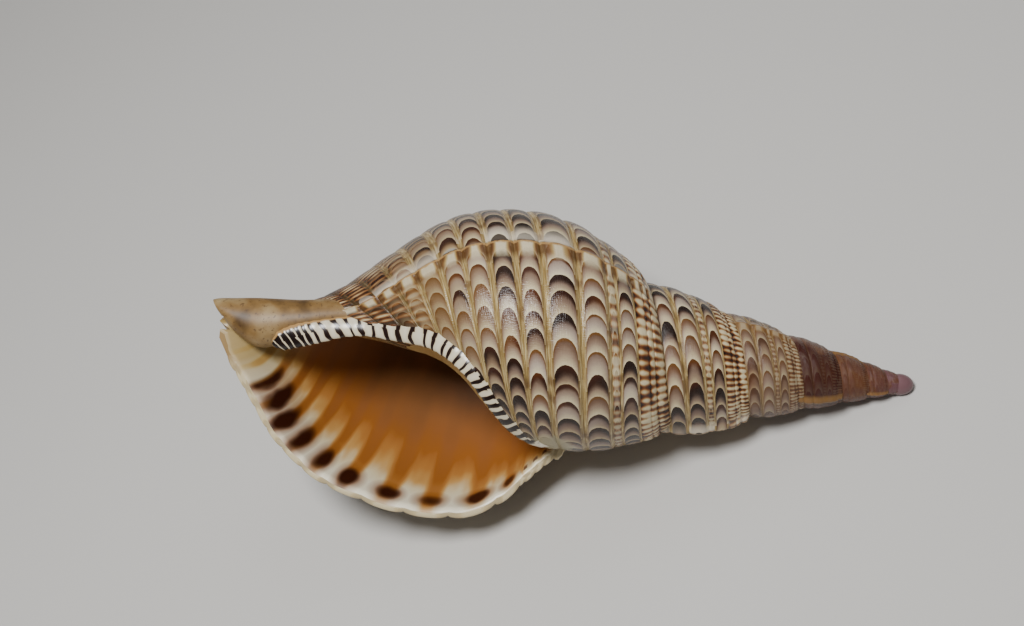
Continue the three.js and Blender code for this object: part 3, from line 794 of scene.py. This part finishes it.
    # Narrow cords below the suture and on the base: cream beads, rust and brown between them
    bead = add_node(tree, "Math", {0: turn, 1: BEADS_IN_A_TURN * 2 * math.pi}, operation="MULTIPLY")
    bead = add_node(tree, "Math", {0: bead}, operation="COSINE")
    hollow = add_node(tree, "Math", {0: aside, 1: 3.0}, operation="POWER")
    bead = add_node(tree, "Math", {0: bead, 1: 0.15, 2: 0.24}, operation="MULTIPLY_ADD")
    bead = add_node(tree, "Math", {0: hollow, 1: -0.2, 2: bead}, operation="MULTIPLY_ADD")
    bead = add_node(tree, "Math", {0: noises["mottle"], 1: 0.72, 2: bead}, operation="MULTIPLY_ADD")
    on_base = add_node(tree, "MapRange", {0: number, 1: 8.5, 2: 10.0, 4: 0.85})
    bead = add_node(tree, "Math", {0: on_base, 1: -0.23, 2: bead}, operation="MULTIPLY_ADD")
    beads = add_node(tree, "ValToRGB", {0: bead}, stops=(
        (0.28, "#1f0d08"), (0.4, "#5c2f16"), (0.5, "#915f33"), (0.58, "#b8996a"), (0.7, "#dccda6"),
    ))
    below_suture = add_node(tree, "Math", {0: number, 1: 2.2}, operation="LESS_THAN")
    thin = add_node(tree, "Math", {0: index, 1: 4.0, 2: 0.1}, operation="COMPARE")
    thin = add_node(tree, "Math", {0: thin, 1: 0.6}, operation="MULTIPLY")
    corded = add_node(tree, "Math", {0: below_suture, 1: thin}, operation="MAXIMUM")
    corded = add_node(tree, "Math", {0: corded, 1: on_base}, operation="MAXIMUM")

    # Old lips: a pale ridge line, squares of cream and brown on its older side, cream past it
    old_lips = add_node(tree, "SeparateXYZ", {0: add_node(tree, "UVMap", uv_map="old lips")})
    near = add_node(tree, "Math", {0: old_lips.outputs[1], 1: 0.2}, operation="GREATER_THAN")
    wavy = add_node(tree, "Math", {0: ragged, 1: 0.004, 2: old_lips}, operation="MULTIPLY_ADD")
    above = add_node(tree, "MapRange", {0: wavy, 1: 0.004, 2: 0.008})
    above_end = add_node(tree, "MapRange", {0: wavy, 1: 0.035, 2: 0.012})
    white = add_node(tree, "MapRange", {0: seeds.outputs[2], 1: 0.35, 2: 0.7, 4: 0.6})
    for limit in (above, above_end, near):
        white = add_node(tree, "Math", {0: white, 1: limit}, operation="MULTIPLY")
    square = add_node(tree, "Math", {0: noises["mottle"], 1: 0.9, 2: aside}, operation="MULTIPLY_ADD")
    square = add_node(tree, "Math", {0: square, 1: 0.8}, operation="MULTIPLY")
    squares = add_node(tree, "ValToRGB", {0: square}, stops=(
        (0.64, "#dacdab"), (0.76, "#b3975f"), (0.88, "#75502b"), (0.96, "#523215"),
    ))
    under = add_node(tree, "MapRange", {0: wavy, 1: -0.021, 2: -0.01, 4: 0.85})
    under_end = add_node(tree, "MapRange", {0: wavy, 1: 0.003, 2: 0.001})
    for limit in (under_end, near):
        under = add_node(tree, "Math", {0: under, 1: limit}, operation="MULTIPLY")
    rim = add_node(tree, "Mix", {0: 0.3, 6: "#d8c79c", 7: squares}, data_type="RGBA")
    edge = add_node(tree, "MapRange", {0: turn, 1: -0.03, 2: -0.02})
    ridge_line = add_node(tree, "Math", {0: wavy, 1: 0.002}, operation="SUBTRACT")
    ridge_line = add_node(tree, "Math", {0: ridge_line}, operation="ABSOLUTE")
    ridge_line = add_node(tree, "MapRange", {0: ridge_line, 1: 0.0022, 2: 0.0008, 4: 0.8})
    ridge_line = add_node(tree, "Math", {0: ridge_line, 1: near}, operation="MULTIPLY")

    # The young whorls are worn: brown, a chestnut patch, amber, and mauve-pink at the tip
    age = add_node(tree, "MapRange", {0: turn, 1: FIRST_TURN, 2: -1.1})
    age = add_node(tree, "ValToRGB", {0: age}, stops=(
        (0.0, "#6f4a55"), (0.1, "#6b4042"), (0.28, "#5e321f"), (0.5, "#643f30"), (0.66, "#6e5040"),
        (0.82, "#664a2f"), (1.0, "#87735f"),
    ))
    clouds = noises["clouds"]
    chestnut = add_node(tree, "Math", {0: turn, 1: 3.75}, operation="ADD")
    chestnut = add_node(tree, "Math", {0: chestnut}, operation="ABSOLUTE")
    chestnut = add_node(tree, "Math", {0: clouds, 1: 0.3, 2: chestnut}, operation="MULTIPLY_ADD")
    chestnut = add_node(tree, "MapRange", {0: chestnut, 1: 0.34, 2: 0.28, 4: 0.9})
    amber = add_node(tree, "MapRange", {0: clouds, 1: 0.5, 2: 0.66, 4: 0.6})
    age = add_node(tree, "Mix", {0: amber, 6: age, 7: "#683a14"}, data_type="RGBA")
    age = add_node(tree, "Mix", {0: chestnut, 6: age.outputs[2], 7: "#3a0c04"}, data_type="RGBA")
    worn = add_node(tree, "MapRange", {0: turn, 1: -1.9, 2: -3.4, 3: 0.05, 4: 0.94})
    golden_lip = add_node(tree, "Math", {0: old_lips}, operation="ABSOLUTE")
    golden_lip = add_node(tree, "MapRange", {0: golden_lip, 1: 0.04, 2: 0.015, 4: 0.6},
                          interpolation_type="SMOOTHSTEP")
    for limit in (worn, near):
        golden_lip = add_node(tree, "Math", {0: golden_lip, 1: limit}, operation="MULTIPLY")

    # Thin olive callus where the lip meets the last whorl
    from_middle = add_node(tree, "VectorMath", {0: growth, 1: (1.1, 28.0, 0.0), 2: (-5.85, 25.7, 0.0)},
                           operation="MULTIPLY_ADD")
    from_middle = add_node(tree, "VectorMath", {0: from_middle}, operation="LENGTH")
    spread = add_node(tree, "Math", {0: ragged, 1: 0.4, 2: from_middle.outputs[1]},
                      operation="MULTIPLY_ADD")
    spread = add_node(tree, "MapRange", {0: spread, 1: 1.25, 2: 0.95, 4: 0.9})

    # The end of the base carries the callus of the canal
    callus = add_node(tree, "MapRange", {0: number, 1: 11.0, 2: 12.0})

    # The colours, from the lowest layer up, and the mask of each
    colour = pale.outputs[0]
    for mask, over in (
        (milkiness, milky), (rusty, "#70441f"), (dusk, dusky), (towards_base, "#74531f"),
        (cap, cap_colour), (beside, groove.outputs[2]), (foot_line, "#7a5c2a"), (corded, beads),
        (white, "#ece3d0"), (under, squares), (edge, rim.outputs[2]), (ridge_line, "#b28b57"),
        (worn, age.outputs[2]), (golden_lip, "#9a7440"), (spread, "#a59a76"), (callus, "#97794c"),
    ):
        layer = add_node(tree, "Mix", {0: mask, 6: colour, 7: over}, data_type="RGBA")
        colour = layer.outputs[2]
    tree.links.new(colour, shader.inputs["Base Color"])

    # Growth lines 0.7 mm apart and fine spiral threads, low under the gloss
    height = add_node(tree, "Math", {0: noises["threads"], 1: 1.4, 2: noises["lines"]},
                      operation="MULTIPLY_ADD")
    height = add_node(tree, "Math", {0: depth, 1: -0.5, 2: height}, operation="MULTIPLY_ADD")
    bump = add_node(tree, "Bump", {"Strength": 0.5, "Distance": 0.0002, "Height": height})
    tree.links.new(bump.outputs[0], shader.inputs["Normal"])
    return material


def make_glaze_material():
    """The inside of the last whorl: thick smooth glaze, amber, cream with brown at the lip."""
    material, tree, shader = new_material("smooth amber glaze", 0.34)
    _, growth, _, number, turn, index, across = marking_inputs(tree)
    seed = add_node(tree, "TexWhiteNoise", {1: index}, noise_dimensions="1D")
    aside = add_node(tree, "Math", {0: across}, operation="ABSOLUTE")

    # Distance in from the edge of the lip in millimetres; the whorl is narrower at its base
    radius = add_node(tree, "MapRange", {0: number, 1: 6.5, 2: 12.0, 3: 70.0, 4: 16.0})
    inward = add_node(tree, "Math", {0: turn, 1: -2 * math.pi}, operation="MULTIPLY")
    inward = add_node(tree, "Math", {0: inward, 1: radius}, operation="MULTIPLY")
    blur_place = add_node(tree, "VectorMath", {0: growth, 1: (1.9, 13.0, 0.0)}, operation="MULTIPLY")
    blur = add_node(tree, "TexNoise", {"Vector": blur_place, "Scale": 1.0, "Detail": 2.0},
                    noise_dimensions="2D")
    ridge = add_node(tree, "MapRange", {0: aside, 1: 0.15, 2: 0.6}, interpolation_type="SMOOTHSTEP")
    streak = add_node(tree, "Math", {0: blur, 1: 22.0, 2: inward}, operation="MULTIPLY_ADD")
    reach_in = add_node(tree, "MapRange", {0: number, 1: 2.4, 2: 6.5, 3: -3.0, 4: -21.0})
    streak = add_node(tree, "Math", {0: ridge, 1: reach_in, 2: streak}, operation="MULTIPLY_ADD")
    streak = add_node(tree, "MapRange", {0: streak, 1: 0.0, 2: 150.0})
    glaze = add_node(tree, "ValToRGB", {0: streak}, stops=(
        (0.0, "#f2e9cf"), (0.06, "#eadab0"), (0.12, "#d0a05c"), (0.17, "#b87c3c"), (0.25, "#9f602a"),
        (0.42, "#985e30"), (1.0, "#80522e"),
    ))
    # Painted shade: grey-brown clouds darken the glaze deep in the whorl, from 45 to 90 mm in from the
    # lip
    deep_shade_place = add_node(tree, "VectorMath", {0: growth, 1: (0.55, 4.5, 0.0)}, operation="MULTIPLY")
    deep_shade = add_node(tree, "TexNoise", {"Vector": deep_shade_place, "Scale": 1.0, "Detail": 3.0},
                      noise_dimensions="2D")
    deep_shade = add_node(tree, "MapRange", {0: deep_shade, 1: 0.35, 2: 0.65, 3: 0.25, 4: 0.85})
    deep = add_node(tree, "MapRange", {0: inward, 1: 45.0, 2: 90.0})
    deep_shade = add_node(tree, "Math", {0: deep_shade, 1: deep}, operation="MULTIPLY")
    canal = add_node(tree, "MapRange", {0: number, 1: 9.6, 2: 11.2, 4: 0.9})

    # Brown blotches a little in from the edge, one to a rib, drawn out inwards
    length = add_node(tree, "MapRange", {0: number, 1: 6.0, 2: 9.5, 3: 4.6, 4: 11.0})
    start = add_node(tree, "MapRange", {0: number, 1: 6.5, 2: 9.5, 3: 5.5, 4: 9.0})
    start = add_node(tree, "Math", {0: seed, 1: 2.5, 2: start}, operation="MULTIPLY_ADD")
    blot = add_node(tree, "Math", {0: inward, 1: start}, operation="SUBTRACT")
    blot = add_node(tree, "Math", {0: blot, 1: length}, operation="DIVIDE")
    blot = add_node(tree, "Math", {0: blot, 1: blot}, operation="MULTIPLY")
    wide = add_node(tree, "MapRange", {0: number, 1: 8.0, 2: 9.5, 3: 0.52, 4: 0.8})
    breadth = add_node(tree, "Math", {0: across, 1: wide}, operation="DIVIDE")
    breadth = add_node(tree, "Math", {0: breadth, 1: breadth}, operation="MULTIPLY")
    blot = add_node(tree, "Math", {0: blot, 1: breadth}, operation="ADD")
    blot = add_node(tree, "Math", {0: blur, 1: 1.8, 2: blot}, operation="MULTIPLY_ADD")
    stain = add_node(tree, "MapRange", {0: blot, 1: 4.6, 2: 1.8, 4: 0.8})
    blot = add_node(tree, "MapRange", {0: blot, 1: 2.6, 2: 1.1}, interpolation_type="SMOOTHSTEP")
    outer_ribs = add_node(tree, "MapRange", {0: number, 1: 3.0, 2: 3.2})
    last_rib = add_node(tree, "MapRange", {0: number, 1: 10.4, 2: 10.2})
    blotted = add_node(tree, "Math", {0: outer_ribs, 1: last_rib}, operation="MULTIPLY")
    blot = add_node(tree, "Math", {0: blot, 1: blotted}, operation="MULTIPLY")
    stain = add_node(tree, "Math", {0: stain, 1: blotted}, operation="MULTIPLY")

    # Small cream teeth with brown gaps where the lip meets the suture
    gap = add_node(tree, "MapRange", {0: aside, 1: 0.4, 2: 0.65, 4: 0.85})
    gap_start = add_node(tree, "MapRange", {0: inward, 1: 1.5, 2: 3.0})
    gap_end = add_node(tree, "MapRange", {0: inward, 1: 10.0, 2: 7.0})
    by_suture = add_node(tree, "MapRange", {0: number, 1: 3.0, 2: 2.8})
    for limit in (gap_start, gap_end, by_suture):
        gap = add_node(tree, "Math", {0: gap, 1: limit}, operation="MULTIPLY")

    colour = glaze.outputs[0]
    for mask, over in (
        (deep_shade, "#54412c"), (canal, "#a78b50"), (stain, "#8a4c1a"), (blot, "#341407"),
        (gap, "#5a2c12"),
    ):
        layer = add_node(tree, "Mix", {0: mask, 6: colour, 7: over}, data_type="RGBA")
        colour = layer.outputs[2]
    tree.links.new(colour, shader.inputs["Base Color"])
    return material


def make_enamel_material():
    """The inner lip: hard glossy enamel, white with slanted black-brown lines in its furrows."""
    material, tree, shader = new_material("glossy striped enamel", 0.26)
    ribs = add_node(tree, "UVMap", uv_map="ribs")
    ridge = add_node(tree, "SeparateXYZ", {0: ribs})
    stretched = add_node(tree, "VectorMath", {0: ribs, 1: (3.0, 0.8, 0.0)}, operation="MULTIPLY")
    drift = add_node(tree, "TexNoise", {"Vector": stretched, "Scale": 1.0, "Detail": 1.0},
                     noise_dimensions="2D")
    phase = add_node(tree, "Math", {0: drift, 1: 0.8, 2: ridge.outputs[1]}, operation="MULTIPLY_ADD")
    across = add_node(tree, "Math", {0: ridge.outputs[0], 1: 2 * math.pi}, operation="MULTIPLY")
    across = add_node(tree, "Math", {0: across}, operation="SINE")
    slant = add_node(tree, "MapRange", {0: ridge.outputs[1], 1: INNER_LIP_RIDGES * 0.3,
                                        2: INNER_LIP_RIDGES * 0.8, 3: 0.2, 4: -0.5})
    phase = add_node(tree, "Math", {0: across, 1: slant, 2: phase}, operation="MULTIPLY_ADD")
    phase = add_node(tree, "Math", {0: phase}, operation="FRACT")
    phase = add_node(tree, "Math", {0: phase, 1: 2.0, 2: -1.0}, operation="MULTIPLY_ADD")
    phase = add_node(tree, "Math", {0: phase}, operation="ABSOLUTE")
    # The lines are thicker towards both ends of the band
    by_suture = (INNER_LIP_RIDGES - 7.0, INNER_LIP_RIDGES - 4.0, 0.42)
    for thin, thick, more in (by_suture, (13.0, 6.0, 0.24)):
        thickness = add_node(tree, "MapRange", {0: ridge.outputs[1], 1: thin, 2: thick, 4: more})
        phase = add_node(tree, "Math", {0: phase, 1: thickness}, operation="ADD")
    stripe = add_node(tree, "ValToRGB", {0: phase}, stops=(
        (0.0, "#e6dcc2"), (0.6, "#d9ccae"), (0.7, "#2b140b"), (1.0, "#170a06"),
    ))
    edge = add_node(tree, "MapRange", {0: across, 1: 0.7, 2: 0.8})
    stripe = add_node(tree, "Mix", {0: edge, 6: stripe, 7: "#b08a58"}, data_type="RGBA")
    last = add_node(tree, "MapRange", {0: ridge.outputs[1], 1: 2.6, 2: 1.6})
    colour = add_node(tree, "Mix", {0: last, 6: stripe.outputs[2], 7: "#e6dcc6"}, data_type="RGBA")
    tree.links.new(colour.outputs[2], shader.inputs["Base Color"])
    return material


def make_callus_material():
    """The canal's shield: dull weathered shell, tan-olive with brown specks and pits."""
    material, tree, shader = new_material("weathered tan callus", 0.5)
    point = add_node(tree, "TexCoord").outputs["Object"]
    cloud = add_node(tree, "TexNoise", {"Vector": point, "Scale": 75.0, "Detail": 5.0})
    base = add_node(tree, "ValToRGB", {0: cloud}, stops=(
        (0.3, "#4f3716"), (0.48, "#836437"), (0.7, "#a89066"),
    ))
    speck = add_node(tree, "TexNoise", {"Vector": point, "Scale": 700.0, "Detail": 2.0})
    speck = add_node(tree, "MapRange", {0: speck, 1: 0.6, 2: 0.7, 4: 0.7})
    colour = add_node(tree, "Mix", {0: speck, 6: base, 7: "#4a2f18"}, data_type="RGBA")
    tree.links.new(colour.outputs[2], shader.inputs["Base Color"])
    bump = add_node(tree, "Bump", {"Strength": 0.4, "Distance": 0.0004, "Height": cloud})
    tree.links.new(bump.outputs[0], shader.inputs["Normal"])
    return material


def make_floor():
    paper, _, shader = new_material("matte paper", 0.9)
    shader.inputs["Base Color"].default_value = linear("#d2d0cc")
    bpy.ops.object.select_all(action="DESELECT")
    bpy.ops.mesh.primitive_plane_add(size=8)
    floor = bpy.context.object
    floor.name = "floor"
    floor.data.materials.append(paper)


def add_light(name, position, size, power):
    data = bpy.data.lights.new(name, "AREA")
    data.shape = "DISK"
    data.size = size
    data.energy = power
    light = bpy.data.objects.new(name, data)
    light.location = position
    aim = Vector(LIT_POINT) - Vector(position)
    light.rotation_euler = aim.to_track_quat("-Z", "Y").to_euler()
    bpy.context.collection.objects.link(light)


def make_camera(shift):
    slope = math.radians(AXIS_SLOPE)
    right = np.array([math.cos(slope), 0, math.sin(slope)])
    up = np.array([-math.sin(slope), 0, math.cos(slope)])
    front = np.array([0, -1.0, 0])
    target = np.array([-VIEW_ALONG, 0, 0]) + up * VIEW_UP
    distance = LENS / SENSOR * IMAGE_WIDTH * VIEW_SCALE
    axes = lay_down(np.stack([right, up, front]))
    target, place_at = lay_down(np.stack([target, target + front * distance]))
    data = bpy.data.cameras.new("camera")
    data.lens = LENS
    data.sensor_width = SENSOR
    camera = bpy.data.objects.new("camera", data)
    matrix = Matrix.Identity(4)
    for column, axis in enumerate(axes):
        matrix.col[column][:3] = axis
    matrix.translation = (place_at + shift) * MM
    camera.matrix_world = matrix
    bpy.context.collection.objects.link(camera)
    bpy.context.scene.camera = camera


finishes = [
    make_outer_material(), make_glaze_material(), make_enamel_material(), make_callus_material(),
]
shell = make_shell()
frame_shift = put_in_frame(shell)
select_only(shell)
bpy.ops.object.shade_smooth_by_angle(angle=math.radians(SMOOTH_ANGLE))
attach(shell, "root")
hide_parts("triton_shell")

make_floor()
make_camera(frame_shift)
for light in LIGHTS:
    add_light(*light)
world = bpy.data.worlds.new("studio")
world.use_nodes = True
world.node_tree.nodes["Background"].inputs[0].default_value = linear("#ebe9e6")
world.node_tree.nodes["Background"].inputs[1].default_value = WORLD_STRENGTH
bpy.context.scene.world = world
